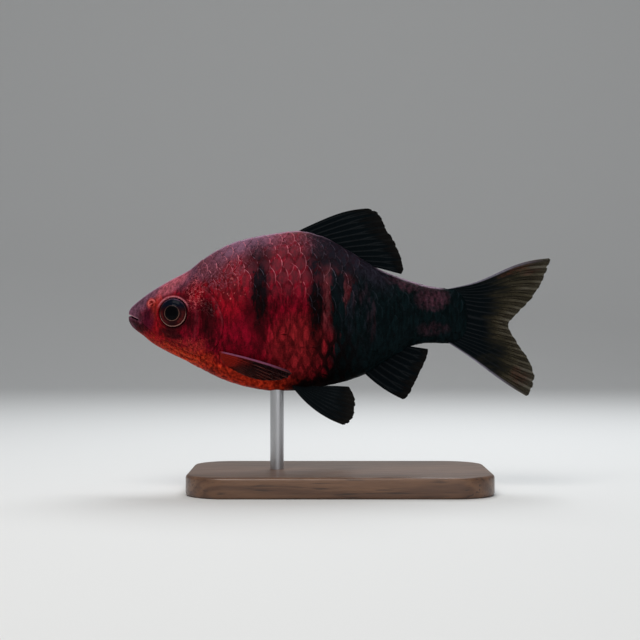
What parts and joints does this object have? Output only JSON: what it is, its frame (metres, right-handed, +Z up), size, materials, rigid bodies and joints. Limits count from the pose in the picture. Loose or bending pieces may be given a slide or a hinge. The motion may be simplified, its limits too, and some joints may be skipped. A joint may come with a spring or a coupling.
{
  "type": "fish model",
  "caption": "Life-size still model of a black ruby barb, a small deep-bodied freshwater fish, held over a flat wooden base by a short rod.",
  "frame": {"origin": "centre of the bounding box at the underside of the stand's base", "axes": "+X towards the tail, the head at -X; +Y towards the fish's right side; +Z up"},
  "size_m": [0.0619, 0.026, 0.0413],
  "materials": {
    "ruby_skin": "deep red painted skin, satin",
    "gill_cover_skin": "darker red painted skin, satin",
    "trunk_skin": "dark red scaled skin with black bars, satin",
    "black_skin": "black scaled skin, satin",
    "fin_black": "black ribbed fin membrane",
    "pectoral_membrane": "dark red-brown ribbed fin membrane",
    "eye_dark": "glossy black eye",
    "stand_wood": "dark walnut, satin",
    "stand_steel": "brushed"
  },
  "bodies": {
    "root": {"head": "ruby_skin", "gill_cover_left": "gill_cover_skin", "gill_cover_right": "gill_cover_skin", "eye_left": "eye_dark", "eye_right": "eye_dark", "trunk": "trunk_skin", "tail_stem": "black_skin", "dorsal_fin": "fin_black", "anal_fin": "fin_black", "caudal_fin": "fin_black", "pelvic_fin_left": "fin_black", "pelvic_fin_right": "fin_black", "pectoral_fin_left": "pectoral_membrane", "pectoral_fin_right": "pectoral_membrane", "stand_base": "stand_wood", "stand_rod": "stand_steel"}
  },
  "joints": []
}
